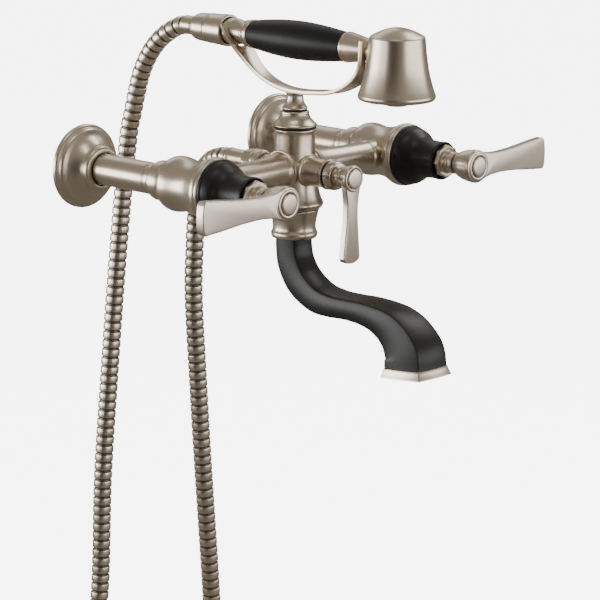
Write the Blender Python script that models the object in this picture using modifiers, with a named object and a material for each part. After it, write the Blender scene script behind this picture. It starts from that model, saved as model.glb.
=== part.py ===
"""Wall mounted bath faucet: two lever valves on a bridge, a curved spout and a hand shower on a cradle.

Metres, +Z up. The wall is the plane y = 0, and the faucet stands out of it toward -Y. The origin is on
the wall, midway between the two inlets, at the height of the bridge. Sizes below are in millimetres.
An outline is a list of (distance along the piece's axis, radius), in the order of rising distance.
"""

import math

import bmesh
import bpy
from mathutils import Matrix, Vector

MM = 0.001
INLET_X = 101.5
COLUMN_OUT = 117.7
HANDSET_Z = 95.3
BELL_OUT = 216.6
SIDES = 20
MORE_SIDES = 26
FEW_SIDES = 14

FACE_OUT = Matrix.Rotation(math.radians(90), 4, "X")
FACE_WALL = Matrix.Rotation(math.radians(-90), 4, "X")
FACE_RIGHT = Matrix.Rotation(math.radians(90), 4, "Y")
FACE_LEFT = Matrix.Rotation(math.radians(-90), 4, "Y")
FACE_UP = Matrix.Identity(4)

for old in list(bpy.data.objects):
    bpy.data.objects.remove(old)
faucet = bpy.data.collections.new("bath_faucet")
cutters = bpy.data.collections.new("cutters")
for made in (faucet, cutters):
    bpy.context.scene.collection.children.link(made)


def material(name, color, metallic, roughness):
    made = bpy.data.materials.new(name)
    made.use_nodes = True
    shader = made.node_tree.nodes["Principled BSDF"]
    shader.inputs["Base Color"].default_value = (*color, 1)
    shader.inputs["Metallic"].default_value = metallic
    shader.inputs["Roughness"].default_value = roughness
    made.diffuse_color = (*color, 1)
    return made


NICKEL = ((0.56, 0.51, 0.45), 1.0, 0.3)
BLACK = ((0.02, 0.021, 0.022), 0.0, 0.42)
BRASS = ((0.72, 0.55, 0.26), 1.0, 0.35)
RUBBER = ((0.015, 0.015, 0.015), 0.0, 0.7)
WHITE = ((0.75, 0.75, 0.73), 0.0, 0.5)


def place(x=0, y=0, z=0, turn=FACE_UP):
    """World matrix of a piece whose local origin is at this place, in millimetres."""
    return Matrix.Translation(Vector((x, y, z)) * MM) @ turn


def finish(piece, look, where, cutter=False):
    """Puts a new object at its place, in its collection, with its own material."""
    (cutters if cutter else faucet).objects.link(piece)
    piece.matrix_world = where
    if cutter:
        piece.hide_render = True
        piece.display_type = "WIRE"
    else:
        piece.data.materials.append(material(piece.name, *look))
    return piece


def turned(name, outer, where, look=NICKEL, bore=None, sides=SIDES, cutter=False):
    """A turned piece. A bore that starts at radius 0 is blind, and one that doesn't runs right through."""
    through = bore is not None and bore[0][1] > 0
    path = list(bore) if bore else [(outer[-1][0], 0)]
    path += list(reversed(outer))
    if not through:
        path.append((outer[0][0], 0))
    mesh = bpy.data.meshes.new(name)
    points = [Vector((radius, 0, along)) * MM for along, radius in path]
    edges = [(i, i + 1) for i in range(len(points) - 1)]
    if through:
        edges.append((len(points) - 1, 0))
    mesh.from_pydata(points, edges, [])
    piece = finish(bpy.data.objects.new(name, mesh), look, where, cutter)
    screw = piece.modifiers.new("Screw", "SCREW")
    screw.steps = screw.render_steps = sides
    screw.use_merge_vertices = True
    screw.merge_threshold = 0.00001
    return piece


def rod(name, start, end, radius, where, sides=FEW_SIDES):
    """A plain round cutter or boss."""
    return turned(name, [(start, radius), (end, radius)], where, sides=sides, cutter=True)


def combine(piece, other, operation):
    boolean = piece.modifiers.new(other.name, "BOOLEAN")
    boolean.operation = operation
    boolean.object = other


def smooth(points, steps):
    """Points on a smooth curve through the given points, with this many steps between each two."""
    points = [Vector(point) for point in points]
    ends = [2 * points[0] - points[1], *points, 2 * points[-1] - points[-2]]
    found = []
    for a, b, c, d in zip(ends, ends[1:], ends[2:], ends[3:]):
        for i in range(steps):
            t = i / steps
            found.append(
                0.5 * (2 * b + (c - a) * t + (2 * a - 5 * b + 4 * c - d) * t**2)
                + 0.5 * (3 * b - a - 3 * c + d) * t**3
            )
    return [*found, points[-1]]


def plate(name, outline, thickness, where, bevel=0.0):
    """A flat outline in its local XY plane, this thick, as a mesh cutter."""
    curve = bpy.data.curves.new(name, "CURVE")
    curve.dimensions = "2D"
    curve.fill_mode = "BOTH"
    curve.extrude = thickness * MM / 2
    spline = curve.splines.new("POLY")
    spline.points.add(len(outline) - 1)
    for point, (x, y) in zip(spline.points, outline):
        point.co = (x * MM, y * MM, 0, 1)
    spline.use_cyclic_u = True
    drawn = bpy.data.objects.new(name, curve)
    cutters.objects.link(drawn)
    graph = bpy.context.evaluated_depsgraph_get()
    mesh = bpy.data.meshes.new_from_object(drawn.evaluated_get(graph))
    bpy.data.objects.remove(drawn)
    work = bmesh.new()
    work.from_mesh(mesh)
    bmesh.ops.remove_doubles(work, verts=work.verts, dist=0.000001)
    bmesh.ops.recalc_face_normals(work, faces=work.faces)
    work.to_mesh(mesh)
    work.free()
    piece = finish(bpy.data.objects.new(name, mesh), None, where, cutter=True)
    if bevel:
        rounded = piece.modifiers.new("Bevel", "BEVEL")
        rounded.width = bevel * MM
        rounded.segments = 2
        rounded.angle_limit = math.radians(50)
    return piece


def loft(name, rings, look, cutter=False):
    """A closed skin over a row of rings that have the same number of points."""
    work = bmesh.new()
    rows = [[work.verts.new(point * MM) for point in ring] for ring in rings]
    for first, second in zip(rows, rows[1:]):
        for i in range(len(first)):
            j = (i + 1) % len(first)
            work.faces.new((first[i], first[j], second[j], second[i]))
    work.faces.new(list(reversed(rows[0])))
    work.faces.new(rows[-1])
    bmesh.ops.recalc_face_normals(work, faces=work.faces)
    mesh = bpy.data.meshes.new(name)
    work.to_mesh(mesh)
    work.free()
    return finish(bpy.data.objects.new(name, mesh), look, FACE_UP, cutter)


def across(path, i):
    """(along, normal) of a path in the YZ plane at its point i."""
    before, after = path[max(i - 1, 0)], path[min(i + 1, len(path) - 1)]
    along = (after - before).normalized()
    return along, Vector((0, -along.z, along.y))


# Valve and its wall end, out from the wall along the inlet's axis.
FLANGE = [
    (0, 31.0), (2.6, 31.0), (4.0, 29.2), (6.2, 28.0), (8.0, 25.0),
    (12.0, 20.4), (17.0, 17.3), (20.8, 16.6), (22.3, 15.0), (22.3, 12.4),
]
FLANGE_INSIDE = [(0, 28.9), (3.4, 27.6), (11.5, 18.6), (20.0, 12.4)]
UNION = [(74.6, 11.8), (77.4, 11.8), (78.8, 13.7), (80.4, 14.3), (81.8, 14.4)]
VALVE = [
    (82.1, 14.4), (91.6, 14.5), (93.0, 16.4), (95.2, 18.5), (98.6, 19.8), (102.6, 20.2), (106.4, 19.8),
    (112.0, 18.7), (119.0, 18.9), (127.0, 20.8), (134.2, 23.5), (137.2, 23.5), (140.2, 22.9),
]
VALVE_INSIDE = [(81.0, 8.0), (111.7, 8.0), (111.7, 17.2), (141.0, 17.2)]
BONNET = [
    (140.5, 22.6), (142.4, 22.6), (143.2, 21.6), (146.5, 21.2), (149.5, 19.9), (152.0, 17.9),
    (154.6, 15.8), (159.0, 14.6), (168.0, 14.0), (173.2, 14.4), (174.4, 13.8),
]
BONNET_INSIDE = [(140.5, 18.6), (146.0, 17.0), (150.0, 13.1), (174.4, 13.1)]
HUB = [(188.3, 7.2), (190.6, 8.2), (194.0, 10.4), (198.6, 11.7), (205.0, 12.4), (207.2, 12.2), (208.0, 11.4)]
HUB_INSIDE = [(187.0, 5.2), (204.2, 5.2), (204.2, 7.9), (210.0, 7.9)]
LEVER_FRONT = 208.0
LEVER_HALVES = [
    (5, 10.4), (11.4, 9.1), (17, 8.2), (26, 7.65), (36, 8.0), (45.7, 8.65), (55, 9.7), (65, 10.8), (78.3, 11.8),
]
LEVER_TIP = 80.7


def lever_outline(halves, tip):
    """A paddle from the hub's axis out to its bowed end, drawn along +X."""
    last_x, last_y = halves[-1]
    bow = []
    for share in (0.6, 0.2, -0.2, -0.6):
        bow.append((last_x + (tip - last_x) * math.sqrt(1 - share**2), last_y * share))
    return halves + bow + [(x, -y) for x, y in reversed(halves)]


def paddle(name, outline, thickness, front, angle, turn):
    """The blade of a lever. Its front face leans back to the wall toward its tip by this angle."""
    lean = Matrix.Rotation(math.radians(angle), 4, "Y")
    return plate(name, outline, thickness, turn @ place(z=front - thickness / 2) @ lean, bevel=1.1)


def valve_side(side, sign):
    """All of one valve: its wall end, body, bonnet, cartridge and lever."""
    axis = place(x=sign * INLET_X, turn=FACE_OUT)
    inward = place(sign * INLET_X, -COLUMN_OUT, 0, FACE_LEFT if sign > 0 else FACE_RIGHT)

    turned(f"{side}_wall_flange", FLANGE, axis, bore=FLANGE_INSIDE, sides=MORE_SIDES)
    turned(f"{side}_supply_nipple", [(0.4, 7.6), (21.0, 7.6)], axis, BRASS, [(0.4, 5.0), (21.0, 5.0)], FEW_SIDES)
    turned(f"{side}_inlet_tube", [(1.5, 11.6), (74.3, 11.6)], axis, bore=[(1.5, 8.0), (74.3, 8.0)])
    turned(f"{side}_union_nut", UNION, axis, bore=[(74.6, 8.0), (81.8, 8.0)])

    body = turned(f"{side}_valve_body", VALVE, axis, sides=MORE_SIDES)
    combine(body, rod(f"{side}_bridge_boss", 2, INLET_X - 79.7, 10.9, inward, SIDES), "UNION")
    combine(body, turned(f"{side}_chamber", VALVE_INSIDE, axis, sides=FEW_SIDES, cutter=True), "DIFFERENCE")
    combine(body, rod(f"{side}_bridge_port", 1, 30, 7.4, inward), "DIFFERENCE")

    cartridge = [(112.1, 16.8), (128.0, 16.8), (128.0, 12.6), (171.6, 12.6)]
    cartridge_bore = [(135.0, 0), (135.0, 5.2), (171.6, 5.2)]
    turned(f"{side}_cartridge", cartridge, axis, BRASS, cartridge_bore, FEW_SIDES)
    turned(f"{side}_bonnet", BONNET, axis, BLACK, BONNET_INSIDE, MORE_SIDES)

    nut = turned(f"{side}_bonnet_nut", [(171.9, 12.0), (172.6, 12.6), (177.6, 12.6), (178.6, 11.8)], axis, sides=8)
    combine(nut, rod(f"{side}_nut_neck", 174, 183.9, 8.0, axis), "UNION")
    combine(nut, rod(f"{side}_nut_bore", 170, 186, 5.2, axis), "DIFFERENCE")

    stem = [(135.4, 4.8), (184.4, 4.8), (184.4, 8.2), (187.6, 8.2), (187.6, 4.8), (199.5, 4.8)]
    stem_bore = [(190.0, 0), (190.0, 2.5), (199.5, 2.5)]
    turned(f"{side}_stem", stem, axis, bore=stem_bore, sides=FEW_SIDES)

    lever = turned(f"{side}_lever", HUB, axis)
    outline = lever_outline(LEVER_HALVES, LEVER_TIP)
    if sign < 0:
        outline = [(-x, y) for x, y in reversed(outline)]
    blade = paddle(f"{side}_blade", outline, 7.5, LEVER_FRONT, sign * 1.35, axis)
    combine(lever, blade, "UNION")
    ring = rod(f"{side}_hub_ring", 203, 208.9, 10.0, axis, SIDES)
    combine(lever, ring, "UNION")
    combine(lever, turned(f"{side}_hub_bore", HUB_INSIDE, axis, sides=SIDES, cutter=True), "DIFFERENCE")

    screw = [(191.0, 2.1), (199.9, 2.1), (199.9, 4.5), (204.4, 4.5)]
    turned(f"{side}_lever_screw", screw, axis, BRASS, sides=FEW_SIDES)
    button = [(204.9, 7.3), (209.2, 7.3), (209.9, 6.6), (210.2, 3.0), (210.3, 0)]
    turned(f"{side}_lever_button", button, axis)


def bridge(side, sign):
    """One tube of the bridge, from the column out to its valve."""
    outward = place(0, -COLUMN_OUT, 0, FACE_RIGHT if sign > 0 else FACE_LEFT)
    outline = [
        (19.3, 13.1), (23.0, 12.4), (31.0, 11.4), (44.0, 10.8), (75.6, 10.5), (77.2, 11.3), (79.4, 11.1),
    ]
    turned(f"{side}_bridge", outline, outward, bore=[(19.3, 7.4), (79.4, 7.4)])


def column():
    """The middle column, with the bosses that the bridge, the diverter and the rear outlet leave from."""
    axis = place(y=-COLUMN_OUT)
    out = place(y=-COLUMN_OUT, turn=FACE_OUT)
    back = place(y=-COLUMN_OUT, turn=FACE_WALL)
    along = place(y=-COLUMN_OUT, turn=FACE_RIGHT)
    outline = [
        (-29.2, 18.5), (-27.4, 20.3), (-25.4, 21.3), (-21.5, 19.9), (-14.0, 17.7), (-4.0, 16.3),
        (10.0, 15.4), (28.0, 15.1), (29.3, 15.9), (30.3, 15.8),
    ]
    body = turned("column_body", outline, axis, sides=MORE_SIDES)
    half_boss = [(3.0, 14.4), (14.0, 14.6), (14.8, 15.3), (15.8, 15.1), (16.4, 13.9), (19.0, 13.2)]
    bosses = [(-x, radius) for x, radius in reversed(half_boss)] + half_boss
    combine(body, turned("bridge_bosses", bosses, along, cutter=True), "UNION")
    branch = [
        (2.0, 11.2), (14.2, 11.4), (15.0, 12.0), (16.0, 11.9), (16.8, 10.6), (32.4, 10.2), (33.6, 11.1), (35.4, 11.1),
    ]
    combine(body, turned("diverter_branch", branch, out, cutter=True), "UNION")
    combine(body, rod("outlet_boss", 3, 19.0, 9.4, back), "UNION")
    combine(body, rod("bridge_passage", -30, 30, 7.4, along), "DIFFERENCE")
    combine(body, rod("diverter_bore", -1, 40, 7.9, out), "DIFFERENCE")
    combine(body, rod("outlet_bore", -1, 30, 4.4, back), "DIFFERENCE")
    combine(body, rod("spout_passage", -60, 3, 8.8, axis), "DIFFERENCE")


def diverter():
    """The hand lever that hangs from the front of the column, with the cartridge that it turns."""
    axis = place(y=-COLUMN_OUT, turn=FACE_OUT)
    turned("diverter_cartridge", [(9.6, 7.4), (35.2, 7.4)], axis, BRASS, [(20.0, 0), (20.0, 3.8), (35.2, 3.8)], FEW_SIDES)
    turned("diverter_ring", [(35.7, 10.5), (36.8, 10.5)], axis, RUBBER, [(35.7, 8.0), (36.8, 8.0)], 24)
    nut = [(37.1, 10.4), (38.0, 10.9), (41.6, 10.6), (43.6, 9.8), (44.0, 6.6), (46.6, 6.6)]
    turned("diverter_nut", nut, axis, bore=[(37.1, 3.8), (46.6, 3.8)])
    turned("diverter_stem", [(20.4, 3.4), (54.0, 3.4)], axis, bore=[(48.0, 0), (48.0, 1.7), (54.0, 1.7)], sides=FEW_SIDES)

    hub = [
        (46.9, 8.0), (50.2, 8.0), (53.0, 8.8), (58.4, 9.6), (59.6, 8.8),
    ]
    lever = turned("diverter_lever", hub, axis)
    halves = [(3, 8.4), (8, 7.4), (15.6, 6.0), (21, 5.6), (30, 5.85), (41, 6.9), (52, 8.1), (57.5, 8.6)]
    down = axis @ Matrix.Rotation(math.radians(-90), 4, "Z")
    blade = paddle("diverter_blade", lever_outline(halves, 62.4), 5.4, 58.8, 1.0, down)
    combine(lever, blade, "UNION")
    recess = [(46.0, 3.8), (57.0, 3.8), (57.0, 7.8), (61.0, 7.8)]
    combine(lever, turned("diverter_hub_bore", recess, axis, sides=24, cutter=True), "DIFFERENCE")
    screw = [(49.0, 1.4), (54.3, 1.4), (54.3, 3.3), (57.4, 3.3)]
    turned("diverter_screw", screw, axis, BRASS, sides=16)
    turned("diverter_button", [(57.8, 7.2), (59.9, 7.2), (60.4, 6.5), (60.7, 0)], axis)


def cradle():
    """The fork that holds the hand shower, on its turned stem."""
    axis = place(y=-COLUMN_OUT)
    turned("column_o_ring", [(30.6, 15.7), (31.8, 15.7)], axis, RUBBER, [(30.6, 8.0), (31.8, 8.0)])
    base = [(32.1, 16.4), (33.0, 16.3), (34.4, 14.9), (36.6, 12.9), (39.2, 11.2), (42.4, 10.5), (43.4, 10.1)]
    turned("cradle_base", base, axis, bore=[(32.1, 8.0), (38.0, 3.2), (43.4, 3.2)])
    turned("cradle_washer", [(43.7, 8.9), (44.3, 8.9)], axis, RUBBER, [(43.7, 3.2), (44.3, 3.2)], FEW_SIDES)
    stem = [(44.6, 9.4), (45.6, 9.1), (47.4, 7.9), (50.2, 6.7), (53.6, 6.1), (56.0, 6.1)]
    turned("cradle_stem", stem, axis)

    route = [
        (-55.6, 102.0, 15.0), (-59.4, 94.0, 13.4), (-63.6, 86.5, 10.8), (-69.8, 79.0, 8.2), (-77.8, 71.6, 6.6),
        (-87.6, 65.2, 5.8), (-99.2, 60.6, 5.4), (-112.5, 58.2, 5.4), (-127.0, 58.0, 5.6), (-141.0, 59.2, 6.0),
        (-155.0, 60.9, 6.8), (-167.4, 65.0, 7.8), (-178.6, 71.6, 8.8), (-186.0, 79.0, 9.8), (-189.6, 86.5, 10.9),
        (-190.8, 94.5, 11.4), (-191.2, 102.6, 11.4),
    ]
    stations = smooth(route, 2)
    middle = [Vector((0, y, z)) for y, z, _ in stations]
    rings = []
    for i, (_, _, half_width) in enumerate(stations):
        _, normal = across(middle, i)
        rise = normal * 1.55
        rings.append([
            middle[i] + rise + Vector((-half_width, 0, 0)),
            middle[i] + rise + Vector((half_width, 0, 0)),
            middle[i] - rise + Vector((half_width, 0, 0)),
            middle[i] - rise + Vector((-half_width, 0, 0)),
        ])
    strap = loft("cradle", rings, NICKEL)
    for name, out, radius in (("rear_slot", 58.0, 10.3), ("front_slot", 190.0, 9.2)):
        arc = [math.radians(angle) for angle in range(180, 361, 20)]
        slot = [(radius * math.cos(angle), radius * math.sin(angle)) for angle in arc] + [(radius, 30), (-radius, 30)]
        combine(strap, plate(name, slot, 34, place(0, -out, HANDSET_Z, FACE_OUT)), "DIFFERENCE")


SQUARE = ((-1, -1, 1, 0), (1, -1, 0, 1), (1, 1, -1, 0), (-1, 1, 0, -1))


def spout():
    """Collar, curved square spout and flared outlet."""
    axis = place(y=-COLUMN_OUT)
    collar = [
        (-51.0, 15.2), (-50.2, 16.6), (-47.8, 17.2), (-45.6, 16.7), (-42.5, 15.9), (-37.5, 16.4), (-29.6, 18.3),
    ]
    turned("spout_collar", collar, axis, bore=[(-51.0, 8.8), (-29.6, 8.8)], sides=MORE_SIDES)

    route = [
        (-117.4, -51.5, 9.4, 9.4), (-117.7, -59.0, 9.4, 9.6), (-120.2, -70.0, 9.6, 9.9),
        (-128.9, -82.5, 10.0, 9.9), (-144.8, -91.9, 10.7, 9.0), (-161.0, -94.4, 11.4, 7.9),
        (-177.0, -94.2, 11.9, 7.3), (-191.0, -94.3, 12.3, 7.8), (-204.5, -95.9, 12.8, 8.8),
        (-216.5, -99.4, 13.3, 10.9), (-226.0, -104.9, 13.8, 13.0), (-232.4, -111.6, 14.4, 14.8),
        (-236.6, -119.0, 15.0, 15.8), (-237.6, -127.8, 15.4, 16.6),
    ]
    stations = smooth(route, 2)
    middle = [Vector((0, y, z)) for y, z, _, _ in stations]

    def section(i, grow, bow, shares, down_by=0.0):
        """A square with bowed sides, across the path at station i and this far further down it."""
        along, normal = across(middle, i)
        _, _, half_x, half_n = stations[i]
        ring = []
        for corner_x, corner_n, step_x, step_n in SQUARE:
            for share in shares:
                swell = 4 * bow * share * (1 - share)
                x = (half_x + grow) * (corner_x + 2 * share * step_x) + swell * step_n
                n = (half_n + grow) * (corner_n + 2 * share * step_n) - swell * step_x
                ring.append(middle[i] + along * down_by + Vector((x, 0, 0)) + normal * n)
        return ring

    last = len(stations) - 1
    thirds, halves = (0, 1 / 3, 2 / 3), (0, 0.5)
    outside = loft("spout", [section(i, 0, 1.3, thirds) for i in range(last + 1)], BLACK)
    inner = [section(i, -3, 0.6, halves) for i in range(0, last + 1, 2)]
    inner = [section(0, -3, 0.6, halves, -3), *inner, section(last, -3, 0.6, halves, 3)]
    combine(outside, loft("spout_bore", inner, None, cutter=True), "DIFFERENCE")

    along, normal = across(middle, last)
    end = middle[last]
    rims = ((0.3, 0.2), (3.2, 0.5), (5.6, 1.1), (6.9, 1.9))
    tip = loft("spout_tip", [section(last, grow, 1.3, thirds, down_by) for down_by, grow in rims], NICKEL)
    face = Matrix((
        (1, 0, 0, 0),
        (0, normal.y, -along.y, end.y * MM),
        (0, normal.z, -along.z, end.z * MM),
        (0, 0, 0, 1),
    ))
    combine(tip, rod("tip_bore", -12, 4, 12.6, face, SIDES), "DIFFERENCE")
    turned("aerator", [(-5.4, 12.2), (-0.4, 12.2)], face, WHITE, [(-5.4, 4.5), (-0.4, 4.5)])


def rear_outlet():
    """The union behind the column that feeds the hose, out toward the wall."""
    axis = place(y=-COLUMN_OUT, turn=FACE_WALL)
    turned("outlet_stub", [(19.3, 6.7), (46.6, 6.7)], axis, bore=[(19.3, 4.4), (46.6, 4.4)], sides=FEW_SIDES)
    nut = turned("outlet_nut", [(30.6, 9.0), (31.5, 9.8), (46.0, 9.8), (46.9, 9.0)], axis, sides=6)
    combine(nut, rod("outlet_nut_bore", 28, 50, 7.1, axis), "DIFFERENCE")
    ferrule = [(47.2, 7.6), (49.0, 7.3), (64.4, 7.3), (65.8, 7.7), (66.4, 7.4)]
    turned("hose_ferrule_outlet", ferrule, axis, bore=[(47.2, 4.4), (66.4, 4.4)])


def hand_shower():
    """Hose nut, neck, grip, front ferrule and bell, along the cradle."""
    axis = place(z=HANDSET_Z, turn=FACE_OUT)
    turned("hose_sleeve", [(4.4, 6.9), (5.4, 7.2), (14.4, 7.2)], axis, bore=[(4.4, 4.4), (14.4, 4.4)])
    rear = [(14.7, 7.5), (16.6, 8.9), (19.6, 10.2), (22.5, 10.7), (31.6, 11.1)]
    turned("hose_nut_rear", rear, axis, bore=[(14.7, 4.4), (31.6, 4.4)])
    front = [(31.9, 11.1), (42.0, 11.7), (49.6, 12.1), (50.9, 11.8)]
    turned("hose_nut_front", front, axis, bore=[(31.9, 4.4), (44.0, 4.4), (44.0, 10.5), (50.9, 10.5)])
    turned("hose_washer", [(44.3, 10.1), (46.3, 10.1)], axis, RUBBER, [(44.3, 5.0), (46.3, 5.0)], FEW_SIDES)
    neck = [(46.6, 9.8), (58.5, 9.9), (61.5, 9.2), (68.4, 8.6), (72.2, 9.9), (73.6, 10.5), (76.6, 10.5)]
    turned("handset_neck", neck, axis, bore=[(46.6, 5.0), (70.0, 5.0), (70.0, 6.2), (76.6, 6.2)])
    grip = [
        (76.9, 10.3), (84.0, 11.4), (96.0, 12.8), (108.0, 13.8), (120.0, 14.25), (131.0, 14.0),
        (142.0, 13.35), (153.0, 12.3), (168.8, 10.5),
    ]
    turned("grip", grip, axis, BLACK, [(76.9, 6.2), (168.8, 6.2)])
    turned("handset_tube", [(70.3, 5.8), (174.8, 5.8)], axis, BRASS, [(70.3, 4.2), (174.8, 4.2)], FEW_SIDES)
    ferrule = [(169.1, 10.8), (170.8, 11.2), (179.2, 9.9), (186.6, 8.6), (193.3, 8.1)]
    turned("grip_ferrule", ferrule, axis, bore=[(169.1, 6.2), (175.2, 6.2), (175.2, 4.2), (193.3, 4.2)])

    stand = place(y=-BELL_OUT)
    bell = [
        (62.4, 26.2), (63.4, 27.4), (65.2, 27.9), (70.5, 26.2), (76.7, 24.4), (84.0, 22.7),
        (92.0, 21.4), (106.4, 19.9), (107.4, 19.4),
    ]
    shell = turned("bell", bell, stand, sides=MORE_SIDES)
    combine(shell, rod("bell_socket", 193.6, 205.0, 8.3, axis, SIDES), "UNION")
    hollow = [(60.0, 25.0), (67.0, 24.7), (90.0, 18.4), (103.0, 16.8), (109.0, 16.8)]
    combine(shell, turned("bell_hollow", hollow, stand, sides=SIDES, cutter=True), "DIFFERENCE")
    combine(shell, rod("bell_inlet", 190.0, 206.0, 4.2, axis), "DIFFERENCE")
    cap = [(104.0, 16.4), (107.7, 16.4), (107.7, 19.3), (108.8, 18.7), (111.0, 14.6), (113.2, 8.0), (114.0, 0)]
    turned("bell_cap", cap, stand, sides=MORE_SIDES)
    turned("spray_plate", [(63.6, 24.4), (65.6, 24.4)], stand, WHITE, sides=MORE_SIDES)
    turned("spray_boss", [(58.2, 7.0), (59.0, 9.2), (61.6, 12.6), (63.3, 13.4)], stand)


HOSE_RADIUS = 7.0
HOSE_POINTS = 72
HOSE_END = 3.0
HOSE_ROUTE = [
    (0, -51, 0), (0.5, -42, -0.8), (3, -28, -6), (8, -13, -19), (13, -4, -38), (15, 0, -56), (14.7, 1, -75), (14.5, 2, -117),
    (19.3, 2, -185), (24.8, 2, -254), (34.8, 3, -357), (42, 6, -430), (47, 11, -500), (42, 17, -560), (22, 25, -604),
    (-6, 34, -618), (-34, 42, -600), (-52, 48, -556), (-56, 51, -500), (-50, 51, -430), (-40.7, 50, -350),
    (-37, 50, -262), (-30.1, 50, -185), (-21.5, 50, -100), (-14.8, 49.5, -39), (-10.8, 47, 7), (-9.3, 44, 24),
    (-8.2, 39.5, 44), (-7.4, 35, 58), (-6.6, 27, 72), (-5, 17, 83.5), (-2.4, 6, 91.5), (-0.4, -1.5, 94.9), (0, -4.1, 95.3),
]


def evenly(route, count):
    """This many points, evenly spaced along a smooth curve through the route's points."""
    fine = smooth(route, 12)
    lengths = [0.0]
    for first, second in zip(fine, fine[1:]):
        lengths.append(lengths[-1] + (second - first).length)
    points, near = [], 0
    for i in range(count):
        goal = lengths[-1] * i / (count - 1)
        while near < len(lengths) - 2 and lengths[near + 1] < goal:
            near += 1
        share = (goal - lengths[near]) / (lengths[near + 1] - lengths[near])
        points.append(fine[near].lerp(fine[near + 1], share))
    return points


def hose():
    """The hose, from the rear outlet down round a loop and up to the hand shower. Both ends leave along Y."""
    points = evenly(HOSE_ROUTE, HOSE_POINTS)
    straight = Vector((0, HOSE_END, 0))
    points = [points[0], points[0] + straight, *points[1:-1], points[-1] + straight, points[-1]]
    curve = bpy.data.curves.new("hose", "CURVE")
    curve.dimensions = "3D"
    curve.bevel_depth = HOSE_RADIUS * MM
    curve.bevel_resolution = 2
    curve.use_fill_caps = True
    spline = curve.splines.new("POLY")
    spline.points.add(len(points) - 1)
    for point, at in zip(spline.points, points):
        point.co = (*(at * MM), 1)
    finish(bpy.data.objects.new("hose", curve), NICKEL, FACE_UP)
    print("hose length, mm:", round(sum((b - a).length for a, b in zip(points, points[1:])), 1))


for side, sign in (("left", -1), ("right", 1)):
    valve_side(side, sign)
    bridge(side, sign)
column()
diverter()
cradle()
spout()
rear_outlet()
hand_shower()
hose()
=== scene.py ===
"""The visible wall mounted bath faucet: satin nickel and black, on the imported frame.

Sizes are in millimetres until they meet a mesh. The wall is y = 0 and the faucet stands out toward -Y.
An outline is a list of (distance along the piece's axis, radius), in the order of rising distance.
"""

import math

import bmesh
import bpy
from mathutils import Matrix, Vector


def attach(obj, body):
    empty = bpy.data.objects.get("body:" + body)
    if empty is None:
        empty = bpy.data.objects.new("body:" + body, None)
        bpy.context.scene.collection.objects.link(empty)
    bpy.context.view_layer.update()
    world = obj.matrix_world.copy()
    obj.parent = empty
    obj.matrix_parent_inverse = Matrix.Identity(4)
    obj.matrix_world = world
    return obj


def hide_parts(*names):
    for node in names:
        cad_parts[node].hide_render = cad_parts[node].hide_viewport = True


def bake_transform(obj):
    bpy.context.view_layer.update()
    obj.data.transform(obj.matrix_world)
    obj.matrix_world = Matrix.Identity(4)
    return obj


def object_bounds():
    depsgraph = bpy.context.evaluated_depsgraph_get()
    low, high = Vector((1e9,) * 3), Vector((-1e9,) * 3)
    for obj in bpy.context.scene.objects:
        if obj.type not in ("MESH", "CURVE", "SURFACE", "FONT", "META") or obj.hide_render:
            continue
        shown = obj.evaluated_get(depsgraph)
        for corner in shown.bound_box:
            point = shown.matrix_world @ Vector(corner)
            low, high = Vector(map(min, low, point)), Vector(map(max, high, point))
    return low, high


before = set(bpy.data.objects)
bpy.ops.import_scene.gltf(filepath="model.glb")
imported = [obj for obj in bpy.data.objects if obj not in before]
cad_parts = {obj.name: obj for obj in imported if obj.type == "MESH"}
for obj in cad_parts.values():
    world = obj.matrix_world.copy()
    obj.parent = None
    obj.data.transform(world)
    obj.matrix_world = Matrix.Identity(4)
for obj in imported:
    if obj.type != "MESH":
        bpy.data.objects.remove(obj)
cad_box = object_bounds()

MM = 0.001
INLET_X = 101.5
COLUMN_OUT = 117.7
HANDSET_Z = 95.3
BELL_OUT = 216.6
STEPS = 72
AXIS_RADIUS = 0.001
ROOT = "faucet"
SHOWER = "hand_shower"

FACE_OUT = Matrix.Rotation(math.radians(90), 4, "X")
FACE_WALL = Matrix.Rotation(math.radians(-90), 4, "X")
FACE_RIGHT = Matrix.Rotation(math.radians(90), 4, "Y")
FACE_LEFT = Matrix.Rotation(math.radians(-90), 4, "Y")
FACE_UP = Matrix.Identity(4)


def place(x=0, y=0, z=0, turn=FACE_UP):
    """World matrix of a piece whose local origin is at this place, in millimetres."""
    return Matrix.Translation(Vector((x, y, z)) * MM) @ turn


# ---------------------------------------------------------------- camera, lights and floor

CAMERA_AZIMUTH = -46.56
CAMERA_ELEVATION = 10.47
CAMERA_DISTANCE = 2.2589
CAMERA_TARGET = Vector((0, -0.1145, 0))
CAMERA_ROLL = 0.36
CAMERA_LENS = 184.75
CAMERA_SHIFT_X = 0.01423
CAMERA_SHIFT_Y = -0.22018
LIGHT_TARGET = Vector((0, -0.12, 0))
FLOOR_DROP = 0.03
FLOOR_GLOW = 6.0
PALE = 0.93

# (height from below to above, brightness) of the room that the metal reflects.
ROOM_STOPS = ((0.0, 0.23), (0.36, 0.24), (0.50, 0.28), (0.64, 0.36), (1.0, 0.42))
ROOM_TINT = (1, 0.91, 0.79)
ROOM_STRENGTH = 0.9
FLAG_STRENGTH = 0.2
FLAG_DIRECTION = (-0.94, -0.33, 0.08)
FLAG_EDGE = (0.80, 0.97)


def bearing(azimuth, elevation):
    """Unit vector away from the faucet, from degrees. Azimuth 0 is straight out from the wall."""
    a, e = math.radians(azimuth), math.radians(elevation)
    return Vector((math.sin(a) * math.cos(e), -math.cos(a) * math.cos(e), math.sin(e)))


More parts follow.
